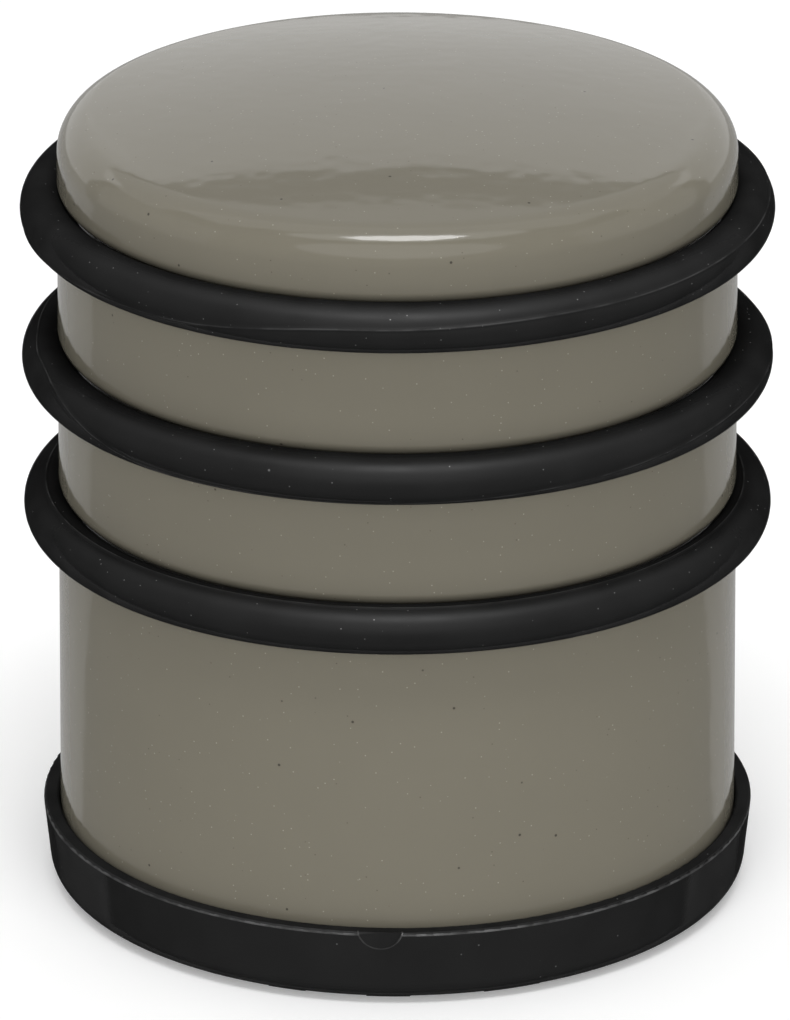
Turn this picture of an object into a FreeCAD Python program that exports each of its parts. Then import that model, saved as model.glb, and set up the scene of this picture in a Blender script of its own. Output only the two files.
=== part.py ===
import FreeCAD, Part
import math
import os

import Sketcher

# Weighted floor door holder: a painted steel shell filled with ballast and ringed by three rubber bumpers.
#
# Everything is a body of revolution about Z except the tread, the mould's gate mark and the screw's drive.
# The origin is on the floor under the middle of the object, +Z is up and the gate mark faces -Y.
# Units are millimetres. Each size is a cell of the sheet, and the features are bound to those cells.

# ---------------------------------------------------------------- driving dimensions
SIZES = {
    # steel shell: a drawn cup, upside down, a little narrower at its crown
    "overall_height": 97.4,
    "shell_radius": 40.0,
    "crown_draft": 0.6,
    "shell_wall": 0.8,
    "crown_rise": 3.8,
    "shoulder_radius": 4.3,
    "bend_radius": 0.6,
    # rubber rings, and the seats rolled into the shell for them
    "ring_stand": 0.9,
    "cord_radius": 3.0,
    "ring_drop": 14.0,
    "ring_pitch": 18.3,
    "seat_clearance": 0.05,
    # rubber base cup
    "cup_clearance": 0.1,
    "rim_wall": 1.9,
    "cup_draft": 0.95,
    "cup_height": 9.4,
    "cup_floor": 5.0,
    "cup_edge_radius": 2.4,
    "rim_edge_radius": 0.35,
    # tread on the underside of the cup
    "tread_depth": 0.4,
    "tread_inset": 2.25,
    "tread_pitch": 11.2,
    "tread_rib": 4.4,
    "tread_angle": 60.0,
    "tread_offset": 7.2,
    # gate mark left by the mould on the cup's rim
    "gate_radius": 2.55,
    "gate_drop": 2.0,
    "gate_depth": 0.3,
    "gate_shift": 2.0,
    # steel plate that closes the shell, and the ballast above it
    "plate_thickness": 1.0,
    "plate_clearance": 0.3,
    "cast_gap": 0.1,
    # fixing screw and washer, and the recess that hides the screw's head
    "recess_radius": 9.0,
    "web_thickness": 1.3,
    "washer_radius": 7.5,
    "washer_thickness": 1.0,
    "screw_radius": 2.3,
    "screw_root_radius": 1.7,
    "screw_length": 28.0,
    "thread_pitch": 2.0,
    "head_radius": 4.4,
    "head_height": 1.9,
    "drive_width": 1.1,
    "drive_length": 4.6,
    "drive_depth": 1.1,
    "hole_clearance": 0.25,
    # nylon plug cast into the ballast for the screw
    "plug_radius": 5.0,
    "plug_length": 31.0,
    "plug_end": 1.5,
    "plug_barb": 0.6,
    "thread_clearance": 0.05,
}

RING_NAMES = ("ring_upper", "ring_middle", "ring_lower")
BARB_COUNT = 6
TINY = 1e-4

doc = FreeCAD.newDocument("door_holder")
sheet = doc.addObject("Spreadsheet::Sheet", "dims")
for row, (alias, number) in enumerate(SIZES.items(), start=1):
    sheet.set(f"A{row}", alias)
    sheet.set(f"B{row}", str(number))
    sheet.setAlias(f"B{row}", alias)
doc.recompute()


# ---------------------------------------------------------------- sizes
class Size:
    """A number, together with the same number as an expression over the sheet's cells."""

    def __init__(self, value, text):
        self.value = value
        self.text = text

    def join(self, other, sign, value):
        text = other.text if isinstance(other, Size) else repr(float(other))
        return Size(value, f"({self.text} {sign} {text})")

    def __add__(self, other):
        return self.join(other, "+", self.value + plain(other))

    def __sub__(self, other):
        return self.join(other, "-", self.value - plain(other))

    def __mul__(self, other):
        return self.join(other, "*", self.value * plain(other))

    def __truediv__(self, other):
        return self.join(other, "/", self.value / plain(other))


def plain(item):
    return item.value if isinstance(item, Size) else float(item)


class Cells:
    """The cells of the sheet by name, each one a Size."""

    def __getattr__(self, name):
        return Size(SIZES[name], f"dims.{name}")


d = Cells()
ZERO = Size(0.0, "0.0")

crown_radius = d.shell_radius - d.crown_draft
ring_radius = d.shell_radius + d.ring_stand
top_ring = d.overall_height - d.ring_drop
cup_bore = d.shell_radius + d.cup_clearance
rim_radius = cup_bore + d.rim_wall
foot_radius = rim_radius - d.cup_draft
tread_radius = foot_radius - d.tread_inset
plate_top = d.cup_floor + d.plate_thickness
recess_depth = d.cup_floor - d.web_thickness
head_seat = recess_depth - d.washer_thickness
ring_span = d.ring_pitch * (len(RING_NAMES) - 1)


# ---------------------------------------------------------------- sketches
def new_body(label):
    body = doc.addObject("PartDesign::Body", label)
    body.Label = label
    return body


def new_sketch(body, role="XZ_Plane", raised=None, turned=None):
    """A sketch on one of the body's own planes, raised along the plane's normal and turned in it."""
    plane = next(f for f in body.Origin.OriginFeatures if f.Role == role)
    sketch = body.newObject("Sketcher::SketchObject", body.Label + "_sketch")
    sketch.AttachmentSupport = [(plane, "")]
    sketch.MapMode = "FlatFace"
    if raised:
        sketch.setExpression(".AttachmentOffset.Base.z", raised.text)
    if turned:
        sketch.setExpression(".AttachmentOffset.Rotation.Angle", turned.text)
    return sketch


def bind(sketch, kind, *where, to):
    """Adds a dimension and ties it to the size it is given."""
    index = sketch.addConstraint(Sketcher.Constraint(kind, *where, to.value))
    sketch.setExpression(f"Constraints[{index}]", to.text)


def pin(sketch, geo, pos, across, along):
    """Fixes a point of the sketch at two sizes. A size of None puts it on that axis."""
    for kind, to, axis in (("DistanceX", across, -2), ("DistanceY", along, -1)):
        if to is None:
            sketch.addConstraint(Sketcher.Constraint("PointOnObject", geo, pos, axis))
        else:
            bind(sketch, kind, geo, pos, to=to)


def spot(across, along):
    return FreeCAD.Vector(plain(across or ZERO), plain(along or ZERO), 0)


def draw_outline(sketch, corners):
    """A closed outline of straight sides through corners, each a pair of sizes or None."""
    points = [spot(*corner) for corner in corners]
    for i in range(len(points)):
        sketch.addGeometry(Part.LineSegment(points[i - 1], points[i]))
    for i in range(len(points)):
        before = i - 1 if i else len(points) - 1
        sketch.addConstraint(Sketcher.Constraint("Coincident", before, 2, i, 1))
    for i, corner in enumerate(corners):
        pin(sketch, i, 2, *corner)


def draw_circle(sketch, across, along, radius):
    geo = sketch.addGeometry(Part.Circle(spot(across, along), FreeCAD.Vector(0, 0, 1), radius.value))
    pin(sketch, geo, 3, across, along)
    bind(sketch, "Radius", geo, to=radius)


def draw_bar(sketch, start, width, length):
    """A rectangle from start to start + width along the sketch's X, and centred on that axis."""
    x0 = start.value
    x1 = x0 + width.value
    y = length.value / 2
    points = [FreeCAD.Vector(*p, 0) for p in ((x0, -y), (x1, -y), (x1, y), (x0, y))]
    for i in range(4):
        sketch.addGeometry(Part.LineSegment(points[i], points[(i + 1) % 4]))
    for i in range(4):
        sketch.addConstraint(Sketcher.Constraint("Coincident", i, 2, (i + 1) % 4, 1))
        sketch.addConstraint(Sketcher.Constraint("Vertical" if i % 2 else "Horizontal", i))
    bind(sketch, "DistanceX", 0, 1, to=start)
    bind(sketch, "DistanceY", 0, 1, to=ZERO - length / 2)
    bind(sketch, "DistanceX", 0, 1, 0, 2, to=width)
    bind(sketch, "DistanceY", 1, 1, 1, 2, to=length)


# ---------------------------------------------------------------- features
def turn(body, sketch, kind="PartDesign::Revolution"):
    """Turns a sketch about Z, to add it or, with PartDesign::Groove, to cut it away."""
    feature = body.newObject(kind, body.Label + "_turned")
    feature.Profile = sketch
    feature.ReferenceAxis = (sketch, ["V_Axis"])
    feature.Angle = 360.0
    doc.recompute()
    return feature


def pad(body, sketch, length):
    feature = body.newObject("PartDesign::Pad", body.Label + "_pad")
    feature.Profile = sketch
    feature.setExpression("Length", length.text)
    doc.recompute()
    return feature


def pocket(body, sketch, length):
    """Cuts a sketch away over a length along its plane's normal, and makes sure that it cuts."""
    before = body.Shape.Volume
    feature = body.newObject("PartDesign::Pocket", body.Label + "_pocket")
    feature.Profile = sketch
    feature.setExpression("Length", length.text)
    feature.Reversed = True
    doc.recompute()
    if not feature.Shape.Volume < before - TINY:
        raise RuntimeError(f"a pocket of {body.Label} cuts nothing")
    return feature


def repeat(body, feature, axis, length, count):
    """Repeats a feature along a sketch's axis, over a length."""
    pattern = body.newObject("PartDesign::LinearPattern", body.Label + "_row")
    pattern.Originals = [feature]
    pattern.Direction = axis
    pattern.Occurrences = count
    pattern.setExpression("Length", length.text)
    body.Tip = pattern
    doc.recompute()
    return pattern


def level_circle(edge):
    """The radius and height of an edge that is a whole level circle about Z, or None."""
    if edge.Degenerated or not edge.isClosed() or not isinstance(edge.Curve, Part.Circle):
        return None
    curve = edge.Curve
    if abs(curve.Axis.z) < 1 - TINY or math.hypot(curve.Center.x, curve.Center.y) > TINY:
        return None
    return curve.Radius, curve.Center.z


def round_rims(body, base, radius, chosen):
    """Rounds the level circles of base whose radius and height are chosen."""
    found = [(f"Edge{i}", level_circle(edge)) for i, edge in enumerate(base.Shape.Edges, start=1)]
    names = [name for name, rim in found if rim and chosen(*rim)]
    if not names:
        raise RuntimeError(f"{body.Label} has no edge to round")
    fillet = body.newObject("PartDesign::Fillet", body.Label + "_rounded")
    fillet.Base = (base, names)
    fillet.setExpression("Radius", radius.text)
    doc.recompute()
    return fillet


# ---------------------------------------------------------------- steel shell and ballast
def draw_cup_outline(sketch, inset, foot):
    """Half the outline of the shell: a flat foot, a leaning side, one arc for the crown, and the axis."""
    shoulder = (crown_radius - inset, d.overall_height - d.crown_rise - inset)
    middle = spot(None, foot)
    low = spot(d.shell_radius - inset, foot)
    corner = spot(*shoulder)
    top = spot(None, d.overall_height - inset)
    rise = top.y - corner.y
    radius = (corner.x ** 2 + rise ** 2) / (2 * rise)
    circle = Part.Circle(FreeCAD.Vector(0, top.y - radius, 0), FreeCAD.Vector(0, 0, 1), radius)
    sketch.addGeometry(Part.LineSegment(middle, low))
    sketch.addGeometry(Part.LineSegment(low, corner))
    sketch.addGeometry(Part.ArcOfCircle(circle, math.asin(1 - rise / radius), math.pi / 2))
    sketch.addGeometry(Part.LineSegment(top, middle))
    for i in range(4):
        sketch.addConstraint(Sketcher.Constraint("Coincident", i, 2, (i + 1) % 4, 1))
    sketch.addConstraint(Sketcher.Constraint("PointOnObject", 2, 3, -2))
    pin(sketch, 0, 1, None, foot)
    pin(sketch, 0, 2, d.shell_radius - inset, foot)
    pin(sketch, 1, 2, *shoulder)
    pin(sketch, 3, 1, None, d.overall_height - inset)


def cup_form(label, inset, foot):
    """A solid the shape of the shell's outside, drawn in all round by inset and standing on foot.

    A seat for each ring is cut round its side, and the seats' edges are rounded over.
    """
    body = new_body(label)
    outline = new_sketch(body)
    draw_cup_outline(outline, inset, foot)
    solid = turn(body, outline)
    corner = (d.overall_height - d.crown_rise - inset).value
    shoulder = d.shoulder_radius - inset
    round_rims(body, solid, shoulder, lambda radius, height: abs(height - corner) < TINY)

    seat = new_sketch(body)
    draw_circle(seat, ring_radius, top_ring - ring_span, d.cord_radius + d.seat_clearance + inset)
    cut = turn(body, seat, "PartDesign::Groove")
    seats = repeat(body, cut, (seat, ["V_Axis"]), ring_span, len(RING_NAMES))

    bottom = foot.value + TINY
    top = corner - shoulder.value
    side = (crown_radius - inset).value - TINY
    mouth = d.bend_radius + d.shell_wall - inset
    round_rims(body, seats, mouth, lambda radius, height: bottom < height < top and radius > side)
    return body


def outer_shell():
    """The drawn steel shell, open underneath."""
    cut = doc.addObject("Part::Cut", "outer_shell")
    cut.Base = cup_form("shell_outside", ZERO, d.cup_floor)
    cut.Tool = cup_form("shell_inside", d.shell_wall, d.cup_floor)
    cut.Label = "outer_shell"
    return cut


def ballast():
    """The cast filling, which keeps off the shell by the shrinkage gap and has a pocket for the plug."""
    bore = doc.addObject("Part::Cylinder", "plug_pocket")
    bore.setExpression("Radius", (d.plug_radius + d.plug_barb + d.cast_gap).text)
    bore.setExpression("Height", (d.plug_length + d.cast_gap).text)
    bore.setExpression(".Placement.Base.z", plate_top.text)
    cut = doc.addObject("Part::Cut", "ballast")
    cut.Base = cup_form("ballast_form", d.shell_wall + d.cast_gap, plate_top)
    cut.Tool = bore
    cut.Label = "ballast"
    return cut


# ---------------------------------------------------------------- rubber parts
def ring(label, place):
    """One rubber ring, counted down from the top one."""
    body = new_body(label)
    section = new_sketch(body)
    draw_circle(section, ring_radius, top_ring - d.ring_pitch * place, d.cord_radius)
    turn(body, section)
    return body


def base_cup():
    """The rubber cup the shell stands in, with a screw recess, a gate mark and a tread."""
    body = new_body("base_cup")
    section = new_sketch(body)
    draw_outline(section, [
        (None, None),
        (tread_radius, None),
        (tread_radius, d.tread_depth),
        (foot_radius, d.tread_depth),
        (rim_radius, d.cup_height),
        (cup_bore, d.cup_height),
        (cup_bore, d.cup_floor),
        (None, d.cup_floor),
    ])
    solid = turn(body, section)
    inner = tread_radius.value + TINY
    floor = d.cup_floor.value - TINY
    top = d.cup_height.value
    solid = round_rims(body, solid, d.cup_edge_radius, lambda radius, height: radius > inner and height < floor)
    round_rims(body, solid, d.rim_edge_radius, lambda radius, height: abs(height - top) < TINY)
    cut_screw_recess(body)
    cut_gate_mark(body)
    cut_tread(body)
    return body


def cut_screw_recess(body):
    """The round recess underneath, and the screw's hole through the web that is left above it."""
    for radius, depth in ((d.recess_radius, recess_depth), (d.screw_radius + d.hole_clearance, d.cup_floor)):
        sketch = new_sketch(body, "XY_Plane")
        draw_circle(sketch, None, None, radius)
        pocket(body, sketch, depth)


def cut_gate_mark(body):
    """A shallow round-bottomed notch in the rim, where the mould was filled, a little to one side of the front."""
    sketch = new_sketch(body, raised=rim_radius - d.gate_depth)
    draw_circle(sketch, ZERO - d.gate_shift, d.cup_height + d.gate_radius - d.gate_drop, d.gate_radius)
    pocket(body, sketch, d.gate_depth * 2)


def cut_tread(body):
    """Channels right across the raised pad underneath, which leave straight parallel ribs between them."""
    first = d.tread_offset - d.tread_rib / 2
    behind = math.ceil((tread_radius + first).value / d.tread_pitch.value)
    ahead = math.ceil((tread_radius - first - d.tread_rib).value / d.tread_pitch.value)
    start = first - d.tread_pitch * behind + d.tread_rib
    sketch = new_sketch(body, "XY_Plane", turned=d.tread_angle - 90)
    draw_bar(sketch, start, d.tread_pitch - d.tread_rib, rim_radius * 2)
    channel = pocket(body, sketch, d.tread_depth)
    count = behind + ahead
    repeat(body, channel, (sketch, ["H_Axis"]), d.tread_pitch * (count - 1), count)


# ---------------------------------------------------------------- plate, screw, washer and plug
def disc(label, bottom, radius, thickness):
    """A flat disc with the screw's clearance hole through it."""
    body = new_body(label)
    sketch = new_sketch(body, "XY_Plane", raised=bottom)
    draw_circle(sketch, None, None, radius)
    draw_circle(sketch, None, None, d.screw_radius + d.hole_clearance)
    pad(body, sketch, thickness)
    return body


def closing_plate():
    """The steel disc that closes the shell under the ballast."""
    radius = d.shell_radius - d.shell_wall - d.plate_clearance
    return disc("closing_plate", d.cup_floor, radius, d.plate_thickness)


def screw_washer():
    """The flat washer between the screw's head and the rubber web."""
    return disc("screw_washer", head_seat, d.washer_radius, d.washer_thickness)


def fixing_screw():
    """The pan-head screw, pointing up, with ridges for its thread and a cross drive in its head."""
    body = new_body("fixing_screw")
    head_face = head_seat - d.head_height
    tip = head_seat + d.screw_length
    ridges = math.floor(0.8 * d.screw_length.value / d.thread_pitch.value)
    corners = [
        (None, head_face),
        (d.head_radius * 0.75, head_face),
        (d.head_radius, head_seat - d.head_height * 0.5),
        (d.head_radius, head_seat),
        (d.screw_root_radius, head_seat),
    ]
    for ridge in range(ridges, 0, -1):
        foot = tip - d.thread_pitch * (ridge + 1)
        corners.append((d.screw_root_radius, foot))
        corners.append((d.screw_radius, foot + d.thread_pitch * 0.42))
        corners.append((d.screw_radius, foot + d.thread_pitch * 0.58))
    corners.append((d.screw_root_radius, tip - d.thread_pitch))
    corners.append((None, tip))
    section = new_sketch(body)
    draw_outline(section, corners)
    turn(body, section)
    for angle in (0.0, 90.0):
        sketch = new_sketch(body, "XY_Plane", raised=head_face, turned=Size(angle, str(angle)))
        draw_bar(sketch, ZERO - d.drive_length / 2, d.drive_length, d.drive_width)
        pocket(body, sketch, d.drive_depth)
    return body


def screw_plug():
    """The barbed nylon plug in the ballast, closed at its top, that the screw bites into."""
    body = new_body("screw_plug")
    bore = d.screw_radius + d.thread_clearance
    barb = d.plug_radius + d.plug_barb
    step = d.plug_length / BARB_COUNT
    corners = [(bore, plate_top), (barb, plate_top)]
    for number in range(1, BARB_COUNT):
        corners.append((d.plug_radius, plate_top + step * (number - 0.4)))
        corners.append((barb, plate_top + step * number))
    end = plate_top + d.plug_length
    corners.append((d.plug_radius - d.plug_end, end))
    corners.append((None, end))
    corners.append((None, end - d.plug_end))
    corners.append((bore, end - d.plug_end))
    section = new_sketch(body)
    draw_outline(section, corners)
    turn(body, section)
    return body


# ---------------------------------------------------------------- build, check and export
nodes = [outer_shell(), ballast(), base_cup(), closing_plate(), screw_washer(), fixing_screw(), screw_plug()]
nodes += [ring(label, place) for place, label in enumerate(RING_NAMES)]
doc.recompute()

for item in doc.Objects:
    if "Invalid" in item.State or "Error" in item.State:
        raise RuntimeError(f"{item.Label} failed: {item.State}")
for node in nodes:
    if node.Shape.isNull() or not node.Shape.isValid() or len(node.Shape.Solids) != 1:
        raise RuntimeError(f"{node.Label} is not one valid solid")

os.makedirs("parts", exist_ok=True)
for node in nodes:
    node.Shape.exportStep(f"parts/{node.Label}.step")
    box = node.Shape.BoundBox
    print(f"{node.Label}: {node.Shape.Volume:.1f} mm3, z {box.ZMin:.2f} to {box.ZMax:.2f}, x {box.XLength:.2f}")
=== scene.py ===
# %% [markdown]
# # A weighted floor door holder
#
# The object is a painted steel cup, turned upside down and filled with concrete. Three rubber rings sit in
# seats rolled round it, and it stands in a rubber base. The CAD model gives every piece its place and size.
# Here the painted shell and the rings are remade with finer surfaces, the base gets its moulding marks, and
# every piece gets a finish. The other pieces keep the shapes they have in the frame, which are already true:
# a part that is turned or moulded to plain sizes needs no second modelling.

# %% Load the frame
import math

import bpy
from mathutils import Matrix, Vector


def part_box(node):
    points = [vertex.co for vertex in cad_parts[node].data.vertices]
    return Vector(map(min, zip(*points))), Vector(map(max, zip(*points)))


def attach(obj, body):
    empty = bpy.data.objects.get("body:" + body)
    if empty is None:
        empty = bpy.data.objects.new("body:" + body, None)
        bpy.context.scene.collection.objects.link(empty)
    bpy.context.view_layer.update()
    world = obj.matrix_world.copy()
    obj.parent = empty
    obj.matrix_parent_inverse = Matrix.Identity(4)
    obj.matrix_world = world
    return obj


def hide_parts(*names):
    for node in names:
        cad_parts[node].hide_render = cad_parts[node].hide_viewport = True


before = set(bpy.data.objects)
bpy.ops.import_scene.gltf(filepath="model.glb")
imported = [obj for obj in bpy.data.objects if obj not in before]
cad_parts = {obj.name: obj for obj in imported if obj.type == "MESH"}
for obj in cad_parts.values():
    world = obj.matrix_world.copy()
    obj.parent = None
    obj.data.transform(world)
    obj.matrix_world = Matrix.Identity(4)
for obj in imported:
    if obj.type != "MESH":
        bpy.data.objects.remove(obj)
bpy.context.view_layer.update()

MM = 0.001

# %% [markdown]
# ## Sizes read from the frame
#
# The radii and heights come from the CAD nodes' own boxes, so that nothing has to be fitted by eye. A ring's
# box gives the cord's thickness (its height) and the middle of the cord (its outer radius less half of that).
# A box says nothing about a rounding or a wall, so those few sizes are stated here, as the steel has them.

# %% Sizes
ring_nodes = ["ring_upper", "ring_middle", "ring_lower"]
ring_heights = []
for node in ring_nodes:
    low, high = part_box(node)
    ring_heights.append((low.z + high.z) / 2)
cord_radius = (high.z - low.z) / 2
ring_radius = high.x - cord_radius

shell_low, shell_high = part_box("outer_shell")
shell_foot = shell_low.z
shell_top = shell_high.z
shell_radius = shell_high.x
shell_draft = 0.6 * MM
crown_radius = shell_radius - shell_draft
crown_rise = 3.8 * MM
shoulder_radius = 4.3 * MM
lip_radius = 1.4 * MM
seat_clearance = 0.05 * MM
seat_radius = cord_radius + seat_clearance
shell_wall = 0.8 * MM

rim_low, rim_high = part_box("base_cup")
rim_height = rim_high.z
rim_radius = rim_high.x
print("rings at", [round(z / MM, 2) for z in ring_heights], "cord radius", round(cord_radius / MM, 2))
print("shell radius", round(shell_radius / MM, 2), "top", round(shell_top / MM, 2))

# %% [markdown]
# ## Small helpers
#
# Operators act on whatever is selected, and the frame arrives with all its nodes selected, so each step
# starts by clearing the selection. `lathe` turns an outline into a surface: a plane is collapsed to one
# vertex, the vertex is extruded along the outline, and the line is spun about Z. A cylinder with edge loops
# pushed in would do too, but the spun outline keeps every radius and height exactly where it was stated.

# %% Helpers for modelling
WELD = 0.002 * MM


def start_clean():
    if bpy.context.object and bpy.context.object.mode != "OBJECT":
        bpy.ops.object.mode_set(mode="OBJECT")
    bpy.ops.object.select_all(action="DESELECT")


def take(piece):
    start_clean()
    piece.select_set(True)
    bpy.context.view_layer.objects.active = piece


def named(name):
    piece = bpy.context.object
    piece.name = name
    piece.data.name = name
    return piece


def report(piece):
    corners = [v.co for v in piece.data.vertices]
    size = [(max(c[i] for c in corners) - min(c[i] for c in corners)) / MM for i in range(3)]
    print(piece.name, len(piece.data.polygons), "faces,", [round(s, 2) for s in size], "mm")


def lathe(name, outline, steps):
    """A surface of revolution about Z from an outline of (radius, height) points, starting off the axis."""
    start_clean()
    bpy.ops.mesh.primitive_plane_add(size=0.001, location=(0, 0, 0))
    piece = named(name)
    bpy.ops.object.mode_set(mode="EDIT")
    bpy.ops.mesh.select_all(action="SELECT")
    bpy.ops.mesh.merge(type="CENTER")
    here = outline[0]
    bpy.ops.transform.translate(value=(here[0], 0, here[1]))
    for radius, height in outline[1:]:
        move = (radius - here[0], 0, height - here[1])
        bpy.ops.mesh.extrude_region_move(TRANSFORM_OT_translate={"value": move})
        here = (radius, height)
    bpy.ops.mesh.select_all(action="SELECT")
    bpy.ops.mesh.spin(steps=steps, angle=math.tau, center=(0, 0, 0), axis=(0, 0, 1))
    bpy.ops.mesh.select_all(action="SELECT")
    bpy.ops.mesh.remove_doubles(threshold=WELD)
    bpy.ops.mesh.normals_make_consistent(inside=False)
    bpy.ops.object.mode_set(mode="OBJECT")
    bpy.ops.object.shade_smooth()
    return piece


def arc(centre, radius, start, end, count):
    """Points along an arc about a centre, from one angle to another in degrees, both ends included."""
    points = []
    for i in range(count + 1):
        angle = math.radians(start + (end - start) * i / count)
        points.append((centre[0] + radius * math.cos(angle), centre[1] + radius * math.sin(angle)))
    return points


# %% [markdown]
# ## The outline of the shell
#
# The shell is drawn steel, so nothing on it is sharp. Its side leans in a little towards the crown. Each seat
# is an arc that follows the ring, and the steel turns over into it with a small lip. The crown is one shallow
# arc, and the shoulder between crown and side is a tighter one. Straight stretches get rows close to their
# ends, which keeps the smooth shading of a flat stretch from being bent by the curve next to it.

# %% Shell outline


def side_radius(height):
    share = (height - shell_foot) / (shell_top - crown_rise - shell_foot)
    return shell_radius + (crown_radius - shell_radius) * share


def straight(bottom, top, rows):
    """Points up the side between two heights, with one row close to each end."""
    margin = 0.25 * MM
    heights = [bottom + margin]
    for i in range(1, rows):
        heights.append(bottom + (top - bottom) * i / rows)
    heights.append(top - margin)
    return [(side_radius(height), height) for height in heights]


def seat_outline(middle):
    """The lower lip, the seat and the upper lip at one ring's height, from the bottom up."""
    lip_x = side_radius(middle) - lip_radius
    reach = seat_radius + lip_radius
    drop = math.sqrt(reach ** 2 - (ring_radius - lip_x) ** 2)
    turn = math.degrees(math.atan2(drop, ring_radius - lip_x))
    points = arc((lip_x, middle - drop), lip_radius, 0, turn, 7)
    points += arc((ring_radius, middle), seat_radius, 180 + turn, 180 - turn, 12)[1:]
    points += arc((lip_x, middle + drop), lip_radius, -turn, 0, 7)[1:]
    return points, middle - drop, middle + drop


def crown_outline():
    """The shoulder and the crown, ending on the axis."""
    ball = (crown_radius ** 2 + crown_rise ** 2) / (2 * crown_rise)
    centre = shell_top - ball
    shoulder_x = side_radius(shell_top - crown_rise - shoulder_radius) - shoulder_radius
    shoulder_z = centre + math.sqrt((ball - shoulder_radius) ** 2 - shoulder_x ** 2)
    lean = math.degrees(math.asin(shoulder_x / (ball - shoulder_radius)))
    points = arc((shoulder_x, shoulder_z), shoulder_radius, 0, 90 - lean, 18)
    points += arc((0, centre), ball, 90 - lean, 90, 26)[1:]
    return points, shoulder_z


outline = [(shell_radius, shell_foot)]
reached = shell_foot
for middle in reversed(ring_heights):
    points, lip_start, lip_end = seat_outline(middle)
    outline += straight(reached, lip_start, 4)
    outline += points
    reached = lip_end
points, shoulder_start = crown_outline()
outline += straight(reached, shoulder_start, 3)
outline += points
print("shell outline has", len(outline), "points")

# %% [markdown]
# ## The painted shell
#
# The real shell is one sheet of steel, drawn into a cup and rolled, so it is the same thickness all over. The
# outline is its outer face. It could be drawn as a closed section with both faces, but a Solidify modifier
# that grows inwards gives the wall and the cut edge at the foot from the one face, and can't pinch it.

# %% Spin the shell and give it its wall
SHELL_STEPS = 224
shell = lathe("painted_shell", outline, SHELL_STEPS)
wall = shell.modifiers.new("wall", "SOLIDIFY")
wall.thickness = shell_wall
wall.offset = -1
take(shell)
bpy.ops.object.modifier_apply(modifier="wall")
report(shell)
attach(shell, "root")
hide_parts("outer_shell")

# %% [markdown]
# ## The rubber rings
#
# Each ring is a round cord, moulded in two halves, so two thin lines of flash run along it, on opposite sides.
# Stretching a ring over the shell rolls it in its seat, so the lines wind round the cord by a different amount
# in each place. A curve suits this: its bevel object is the cord's section with the flash on it, and the tilt
# of each curve point turns the section there. The curve is then made a mesh.

# %% The cord's section
flash_base = 0.12 * MM
flash_rise = 0.115 * MM
flash_width = 0.17 * MM


def cord_section():
    """A circle with two opposite vertices pulled out as flash, as a curve that can be used as a bevel."""
    start_clean()
    body = cord_radius - flash_base
    bpy.ops.mesh.primitive_circle_add(vertices=44, radius=body, location=(0, 0, 0))
    section = named("cord_section")
    for side in (-1, 1):
        bpy.ops.object.mode_set(mode="EDIT")
        bpy.ops.mesh.select_all(action="DESELECT")
        bpy.ops.object.mode_set(mode="OBJECT")
        for vertex in section.data.vertices:
            vertex.select = side * vertex.co.x > 0.999 * body
        bpy.ops.object.mode_set(mode="EDIT")
        bpy.ops.mesh.bevel(offset=flash_width, affect="VERTICES", segments=2)
        bpy.ops.mesh.select_all(action="DESELECT")
        bpy.ops.object.mode_set(mode="OBJECT")
        furthest = max(side * v.co.x for v in section.data.vertices)
        for vertex in section.data.vertices:
            vertex.select = side * vertex.co.x > furthest - 0.0001 * MM
        bpy.ops.object.mode_set(mode="EDIT")
        bpy.ops.transform.translate(value=(side * flash_rise, 0, 0))
    bpy.ops.object.mode_set(mode="OBJECT")
    bpy.ops.object.convert(target="CURVE")
    return bpy.context.object


section = cord_section()
print("section points:", len(section.data.splines[0].points))

# %% [markdown]
# ## Sweeping the rings
#
# A plain torus would have the right size, but its section could not turn. So each ring is a circle of curve
# points with the section as its bevel object. `rolls` says how far the section has rolled at a few places
# round each ring, and `roll` eases between them, because rubber can't kink.

# %% Sweep the rings
CURVE_CUTS = 17
POINT_STEPS = 4


def roll(turns, angle):
    """The section's turn in degrees at an angle round the ring, eased between the stated places."""
    places = sorted(turns)
    for (a0, t0), (a1, t1) in zip(places, places[1:]):
        if a0 <= angle <= a1:
            share = (angle - a0) / (a1 - a0)
            return t0 + (t1 - t0) * (3 - 2 * share) * share ** 2
    return places[0][1]


def make_ring(name, node, height, turns):
    """A ring swept along a circle. Angles run from -180 to 180, and -90 is the front."""
    start_clean()
    bpy.ops.curve.primitive_bezier_circle_add(radius=ring_radius, location=(0, 0, height))
    ring = named(name)
    bpy.ops.object.mode_set(mode="EDIT")
    bpy.ops.curve.select_all(action="SELECT")
    bpy.ops.curve.subdivide(number_cuts=CURVE_CUTS)
    bpy.ops.object.mode_set(mode="OBJECT")
    ring.data.dimensions = "3D"
    ring.data.twist_mode = "Z_UP"
    ring.data.resolution_u = POINT_STEPS
    ring.data.bevel_mode = "OBJECT"
    ring.data.bevel_object = section
    spline = ring.data.splines[0]
    spline.tilt_interpolation = "CARDINAL"
    for point in spline.bezier_points:
        angle = math.degrees(math.atan2(point.co.y, point.co.x))
        point.tilt = math.radians(roll(turns, angle))
    bpy.ops.object.convert(target="MESH")
    bpy.ops.object.transform_apply(location=True, rotation=True, scale=True)
    bpy.ops.object.mode_set(mode="EDIT")
    bpy.ops.mesh.select_all(action="SELECT")
    bpy.ops.mesh.remove_doubles(threshold=WELD)
    bpy.ops.mesh.normals_make_consistent(inside=False)
    bpy.ops.object.mode_set(mode="OBJECT")
    bpy.ops.object.shade_smooth()
    ring = bpy.context.object
    report(ring)
    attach(ring, "root")
    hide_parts(node)
    return ring


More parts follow.
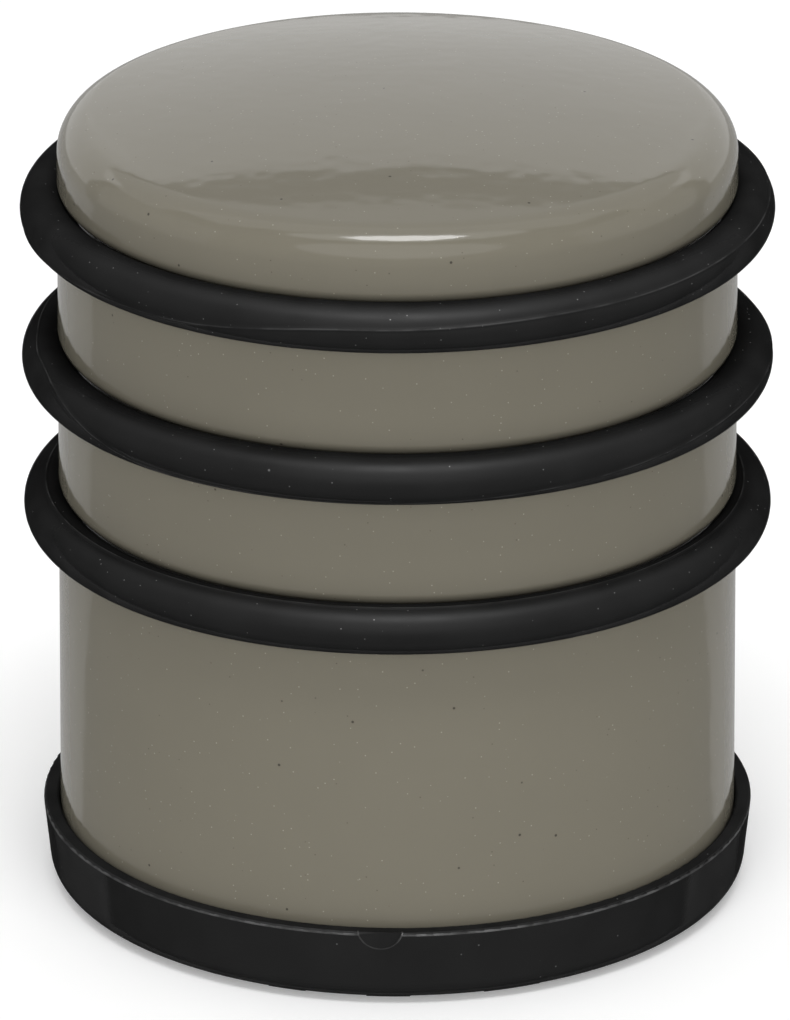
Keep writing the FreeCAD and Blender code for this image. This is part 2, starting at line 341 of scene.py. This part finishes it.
rolls = {
    "ring_upper": [(-180, -30), (-130, -24), (-96, 14), (-60, 24), (0, 40), (90, 10), (180, -30)],
    "ring_middle": [(-180, 70), (-168, 60), (-125, -45), (-100, -50), (0, 20), (90, 70), (180, 70)],
    "ring_lower": [(-180, 84), (-90, 80), (0, 96), (180, 84)],
}
rings = []
for node, height in zip(ring_nodes, ring_heights):
    rings.append(make_ring(node.replace("ring", "bumper"), node, height, rolls[node]))
bpy.data.objects.remove(section)

# %% [markdown]
# ## Shader maths in Python
#
# A finish is a material with one Principled shader. `Signal` wraps a socket, so that sums of sockets can be
# written as sums. `Finish.add` adds any other node: its settings are set first and then its inputs. Everything
# is placed by the piece's own coordinates in metres, so a speck or a ripple has its real size on every piece.

# %% Shader helpers


class Signal:
    """The value of a socket, which can be added to, multiplied and so on."""

    def __init__(self, finish, socket):
        self.finish = finish
        self.socket = socket

    def sum(self, operation, *values):
        return self.finish.add("ShaderNodeMath", {"operation": operation}, dict(enumerate(values)))

    def __add__(self, other):
        return self.sum("ADD", self, other)

    def __sub__(self, other):
        return self.sum("SUBTRACT", self, other)

    def __mul__(self, other):
        return self.sum("MULTIPLY", self, other)

    def __lt__(self, other):
        return self.sum("LESS_THAN", self, other)

    def __gt__(self, other):
        return self.sum("GREATER_THAN", self, other)

    def root(self):
        return self.sum("SQRT", self)

    def size(self):
        return self.sum("ABSOLUTE", self)

    def wrapped(self, period):
        return self.sum("FLOORED_MODULO", self, period)

    def ramp(self, low, high, start=0.0, end=1.0):
        """An eased step from start to end as this value goes from low to high."""
        inputs = {"Value": self, "From Min": low, "From Max": high, "To Min": start, "To Max": end}
        return self.finish.add("ShaderNodeMapRange", {"interpolation_type": "SMOOTHSTEP"}, inputs)


class Finish:
    """A material whose Principled shader gets plain values at once, and signals through feed."""

    def __init__(self, name, **constants):
        self.material = bpy.data.materials.new(name)
        self.material.use_nodes = True
        self.tree = self.material.node_tree
        self.shader = self.tree.nodes["Principled BSDF"]
        for socket, value in constants.items():
            self.shader.inputs[socket.replace("_", " ")].default_value = value

    def add(self, kind, settings=None, inputs=None, output=0):
        node = self.tree.nodes.new(kind)
        for key, value in (settings or {}).items():
            setattr(node, key, value)
        for key, value in (inputs or {}).items():
            self.connect(node.inputs[key], value)
        return Signal(self, node.outputs[output])

    def connect(self, socket, value):
        if isinstance(value, Signal):
            self.tree.links.new(value.socket, socket)
        else:
            socket.default_value = value

    def feed(self, socket, signal):
        self.connect(self.shader.inputs[socket], signal)

    def place(self):
        """The position on the piece, in metres."""
        return self.add("ShaderNodeTexCoord", output="Object")

    def axes(self):
        """The three coordinates of the position, each as a signal."""
        split = self.add("ShaderNodeSeparateXYZ", {}, {"Vector": self.place()})
        return [Signal(self, socket) for socket in split.socket.node.outputs]

    def noise(self, size, detail=2.0, roughness=0.5):
        """Smooth noise from 0 to 1, whose lumps are about size metres across."""
        inputs = {"Vector": self.place(), "Scale": 1 / size, "Detail": detail, "Roughness": roughness}
        return self.add("ShaderNodeTexNoise", {}, inputs, output="Fac")

    def specks(self, spacing, radius, share, shift=0.0):
        """Sparse dots: 1 inside a dot. spacing is between places, and share is how many places have one."""
        offset = {"Vector": self.place(), "Location": (shift, shift, shift)}
        where = self.add("ShaderNodeMapping", {}, offset)
        inputs = {"Vector": where, "Scale": 1 / spacing, "Randomness": 1.0}
        cell = self.add("ShaderNodeTexVoronoi", {}, inputs, output="Distance")
        chance = self.add("ShaderNodeTexVoronoi", {}, inputs, output="Color")
        pick = self.add("ShaderNodeSeparateColor", {}, {"Color": chance})
        solid, soft = 0.6 * radius / spacing, 1.3 * radius / spacing
        return cell.ramp(solid, soft, 1.0, 0.0) * (pick < share)

    def blend(self, amount, first, second):
        """A colour between two others."""
        inputs = {"Factor": amount, 6: first, 7: second}
        return self.add("ShaderNodeMix", {"data_type": "RGBA"}, inputs, output=2)

    def bump(self, height, depth, under=None):
        """Bumps as deep as depth metres where height goes from 0 to 1."""
        inputs = {"Height": height, "Distance": depth, "Strength": 1.0}
        if under:
            inputs["Normal"] = under
        return self.add("ShaderNodeBump", {}, inputs)

    def cover(self, piece):
        piece.data.materials.clear()
        piece.data.materials.append(self.material)
        print(self.material.name, "on", piece.name, "from", len(self.tree.nodes), "nodes")


def grey(level):
    return (level, level, level, 1.0)


def scaled(colour, share):
    """The colour made lighter or darker, with its alpha left at 1."""
    return tuple(part * share for part in colour[:3]) + (1.0,)


# %% [markdown]
# ## Paint
#
# A warm grey gloss paint over steel. Sprayed paint is never quite flat: it has the long low ripple called
# orange peel, which bends the edges of reflections. It also catches dust before it dries, which leaves pale
# and dark specks a fifth of a millimetre across.

# %% Paint
PAINT = (0.170, 0.157, 0.122, 1.0)
PALE_DUST = (0.50, 0.46, 0.40, 1.0)
BROWN_DUST = (0.045, 0.030, 0.024, 1.0)
DARK_GRIT = (0.030, 0.024, 0.020, 1.0)
paint = Finish("warm_grey_gloss", Roughness=0.09, IOR=1.5)
cloud = paint.noise(11 * MM, detail=3)
tone = paint.blend(cloud, scaled(PAINT, 0.97), scaled(PAINT, 1.03))
tone = paint.blend(paint.specks(0.95 * MM, 0.085 * MM, 0.50) * 0.42, tone, PALE_DUST)
tone = paint.blend(paint.specks(1.2 * MM, 0.09 * MM, 0.25, 0.3) * 0.50, tone, BROWN_DUST)
tone = paint.blend(paint.specks(3.9 * MM, 0.17 * MM, 0.35, 0.7) * 0.85, tone, DARK_GRIT)
paint.feed("Base Color", tone)
ripple = paint.bump(paint.noise(1.9 * MM, detail=0.0), 0.022 * MM)
peel = paint.bump(paint.noise(6.0 * MM, detail=0.0), 0.026 * MM, ripple)
paint.feed("Normal", peel)
paint.cover(shell)

# %% [markdown]
# ## Rubber of the rings
#
# The rings are smooth moulded rubber: black, with a soft sheen, dusted with bits of lint and powder. Matt rubber
# doesn't brighten at a glancing angle the way gloss paint does, because its own roughness shades it there. A
# dark metallic share with a dark edge tint behaves like that, so it carries the sheen in place of the usual one.
# The flash is painted a little paler, as a painted highlight along its fin, and it is found by its distance
# from the middle of the cord.

# %% Ring rubber
ring_rubber = Finish("ring_rubber", Metallic=0.8, Specular_IOR_Level=0.0, Specular_Tint=grey(0.05))
mottle = ring_rubber.noise(6 * MM, detail=4)
shade = ring_rubber.blend(mottle, grey(0.030), grey(0.042))
shade = ring_rubber.blend(ring_rubber.specks(0.95 * MM, 0.075 * MM, 0.32) * 0.5, shade, grey(0.50))
shade = ring_rubber.blend(ring_rubber.specks(3.3 * MM, 0.15 * MM, 0.3, 0.2) * 0.5, shade, grey(0.40))
x, y, z = ring_rubber.axes()
ring_pitch = ring_heights[0] - ring_heights[1]
across = (x * x + y * y).root() - ring_radius
along = (z - ring_heights[2] + ring_pitch / 2).wrapped(ring_pitch) - ring_pitch / 2
depth = (across * across + along * along).root()
flash_root, flash_tip = cord_radius - 0.10 * MM, cord_radius - 0.03 * MM
fin = depth.ramp(flash_root, flash_tip)
flash_highlight_breaks = ring_rubber.noise(4 * MM, detail=3).ramp(0.35, 0.65, 0.15, 0.75)
# the paler flash is a painted highlight along the fin, and noise breaks the line up
ring_rubber.feed("Base Color", ring_rubber.blend(fin * flash_highlight_breaks, shade, grey(0.12)))
ring_rubber.feed("Roughness", mottle.ramp(0.3, 0.7, 0.44, 0.53))
grain = ring_rubber.bump(ring_rubber.noise(0.4 * MM, detail=3), 0.006 * MM)
ring_rubber.feed("Normal", ring_rubber.bump(ring_rubber.noise(7 * MM, detail=1), 0.06 * MM, grain))
for ring in rings:
    ring_rubber.cover(ring)

# %% [markdown]
# ## Rubber of the base, and its moulding marks
#
# The mould closed at the rim's outer edge, so a hair of flash is left there, and it follows the notch too. Its
# line is painted paler than the rubber round it, as a painted highlight for the light the thin fin catches. The
# distance from the rim's edge and from the notch's circle gives the place of the line, and noise breaks it up. A
# modelled hair so thin would need a very fine mesh all round, and it changes the tone far more than it changes
# the shape.

# %% Base rubber
notch_radius = 2.6 * MM
notch_shift = 2.0 * MM
notch_lift = 0.55 * MM
rim_line_drop = 0.28 * MM
rim_line_half = 0.1 * MM
notch_line_half = 0.09 * MM
base_rubber = Finish("base_rubber", Metallic=0.8, Specular_IOR_Level=0.0, Specular_Tint=grey(0.12))
mottle = base_rubber.noise(5 * MM, detail=4)
shade = base_rubber.blend(mottle, grey(0.034), grey(0.046))
shade = base_rubber.blend(base_rubber.specks(1.8 * MM, 0.10 * MM, 0.2) * 0.45, shade, grey(0.45))
x, y, z = base_rubber.axes()
out = (x * x + y * y).root()
notch_x = x + notch_shift
notch_z = z - rim_height - notch_lift
notch = (notch_x * notch_x + notch_z * notch_z).root()
rim_line = (z - rim_height + rim_line_drop).size() < rim_line_half
rim_line = rim_line * (out > rim_radius - 0.5 * MM) * (notch > notch_radius)
notch_line = (notch - notch_radius).size() < notch_line_half
notch_line = notch_line * (out > rim_radius - 0.55 * MM) * (y < 0.0)
broken = base_rubber.noise(2.6 * MM, detail=3).ramp(0.35, 0.65, 0.25, 1.0)
# the paler flash line is a painted highlight, the light caught by the thin fin
flash_highlight = (rim_line + notch_line) * broken
shade = base_rubber.blend(flash_highlight * 0.8, shade, grey(0.20))
base_rubber.feed("Base Color", shade)
base_rubber.feed("Roughness", mottle.ramp(0.3, 0.7, 0.50, 0.62))
base_rubber.feed("Normal", base_rubber.bump(base_rubber.noise(0.3 * MM, detail=4), 0.008 * MM))
base_rubber.cover(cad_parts["base_cup"])

# %% [markdown]
# ## Finishes underneath and inside
#
# The screw, its washer and the closing plate are zinc plated, the filling is concrete and the plug is nylon.
# Their shapes are the frame's own. Zinc plating is crystalline, so its sheen is uneven. Concrete is rough at
# every scale, so one noise with much detail gives both its tone and its bumps. Nylon is only slightly cloudy.

# %% Zinc, concrete and nylon
zinc = Finish("zinc_plate", Metallic=1.0, Roughness=0.35)
spangle = zinc.noise(1.6 * MM, detail=3)
zinc.feed("Base Color", zinc.blend(spangle, (0.46, 0.45, 0.42, 1), (0.62, 0.62, 0.60, 1)))
zinc.feed("Roughness", spangle.ramp(0.3, 0.7, 0.28, 0.45))
for node in ("fixing_screw", "screw_washer", "closing_plate"):
    zinc.cover(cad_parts[node])

concrete = Finish("cast_concrete", Roughness=0.9)
grit = concrete.noise(2.0 * MM, detail=6, roughness=0.65)
concrete.feed("Base Color", concrete.blend(grit, (0.26, 0.255, 0.24, 1), (0.50, 0.49, 0.46, 1)))
concrete.feed("Normal", concrete.bump(grit, 0.25 * MM))
concrete.cover(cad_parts["ballast"])

nylon = Finish("nylon", Roughness=0.4)
cloud = nylon.noise(3 * MM, detail=2)
nylon.feed("Base Color", nylon.blend(cloud, (0.62, 0.60, 0.53, 1), (0.72, 0.70, 0.64, 1)))
nylon.cover(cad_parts["screw_plug"])

# %% [markdown]
# ## Floor
#
# A plain sheet of white paper. It glows a little, as a lit table does, so that it stays white round the object.
# The paint does not reflect it, because the light panels stand for all that the paint reflects.

# %% Floor
start_clean()
bpy.ops.mesh.primitive_plane_add(size=6, location=(0, 0, 0))
floor = named("floor")
floor_paper = Finish("floor_paper", Roughness=0.9, Emission_Color=grey(1.0), Emission_Strength=0.22)
fibre = floor_paper.noise(20 * MM)
floor_paper.feed("Base Color", floor_paper.blend(fibre, grey(0.90), grey(0.92)))
floor_paper.cover(floor)
floor_paper.material.cycles.emission_sampling = "NONE"
floor.visible_glossy = False
floor.visible_shadow = False

# %% [markdown]
# ## Light
#
# A gloss object is lit by what it reflects. White panels stand in an arc behind it, softboxes hang above, and a
# smaller, brighter one in front of those makes the bright line along the shoulder. A soft glow from over the
# camera gives the black rubber its highlight. The last light in the list only fills: nothing reflects it. One
# broad panel behind would be simpler, but an arc of narrow ones keeps its distance the same all along.

# %% Lights


def softbox(name, centre, target, size, radiance, shape="RECTANGLE"):
    """A flat light that faces target. radiance is how bright it looks, where white paper is near 1."""
    start_clean()
    bpy.ops.object.light_add(type="AREA", location=centre)
    lamp = bpy.context.object
    lamp.name = name
    lamp.data.shape = shape
    lamp.data.size = size[0]
    lamp.data.size_y = size[1]
    share = 1.0 if shape == "RECTANGLE" else math.pi / 4
    lamp.data.energy = radiance * math.pi * size[0] * size[1] * share
    away = [c - t for c, t in zip(centre, target)]
    flat = math.hypot(away[0], away[1])
    lamp.rotation_euler = (math.atan2(flat, away[2]), 0, math.atan2(away[0], -away[1]))
    lamp.visible_camera = False
    print(name, "gives", round(lamp.data.energy, 2), "W")
    return lamp


LIGHTS = [
    ("low_panel", (0, 1.2, -0.31), (0, 0, -0.31), (3.43, 0.80), 0.20),
    ("top_softbox", (0, 1.0, 1.45), (0, 1.0, 0), (4.4, 1.5), 0.44),
    ("near_softbox", (0, 0.0, 1.25), (0, 0.0, 0), (2.2, 0.5), 0.60),
    ("key", (0.03, -0.36, 0.97), (0, 0, 0.09), (0.46, 0.27), 9.5, "ELLIPSE"),
    ("halo", (0.03, -0.38, 1.02), (0, 0, 0.09), (1.1, 0.42), 1.1, "ELLIPSE"),
    ("left_side", (-1.2, 0.0, 0.3), (0, 0, 0.05), (1.2, 1.0), 0.18),
    ("right_side", (1.2, 0.0, 0.3), (0, 0, 0.05), (1.2, 1.0), 0.25),
    ("front_glow", (0.0, -1.27, 0.78), (0, 0, 0.05), (1.8, 1.1), 0.75, "ELLIPSE"),
    ("front_fill", (0.0, -1.5, 0.5), (0, 0, 0.05), (1.2, 0.7), 2.7),
]
lamps = [softbox(*light) for light in LIGHTS]
lamps[-1].visible_glossy = False

BACK_PANELS = 5
BACK_STEP = 22.4
BACK_DISTANCE = 1.2
BACK_HEIGHT = 0.49
for i in range(BACK_PANELS):
    turn = math.radians(BACK_STEP * (i - BACK_PANELS // 2))
    centre = (BACK_DISTANCE * math.sin(turn), BACK_DISTANCE * math.cos(turn), BACK_HEIGHT)
    softbox(f"back_panel_{i}", centre, (0, 0, BACK_HEIGHT), (0.477, 0.80), 0.66)

world = bpy.data.worlds.new("studio")
bpy.context.scene.world = world
world.use_nodes = True
world.node_tree.nodes["Background"].inputs["Color"].default_value = (1, 1, 1, 1)
world.node_tree.nodes["Background"].inputs["Strength"].default_value = 0.25

# %% [markdown]
# ## Camera
#
# A long lens from over a metre away, looking down about 22 degrees at the front. From so far off the near and
# far edges of the rings are nearly the same size, which a short lens close by could not give.

# %% Camera
start_clean()
look_down = math.radians(21.93)
stand = (-0.29 * MM, -1058.9 * MM, 471.25 * MM)
bpy.ops.object.camera_add(location=stand, rotation=(math.pi / 2 - look_down, 0, 0))
camera = bpy.context.object
camera.data.lens = 343.1
camera.data.sensor_width = 36.0
camera.data.dof.use_dof = False
bpy.context.scene.camera = camera
bpy.context.scene.view_settings.view_transform = "Standard"
print("camera", round(math.dist(stand, (0, 0, 0)) / MM), "mm from the origin, lens", camera.data.lens, "mm")
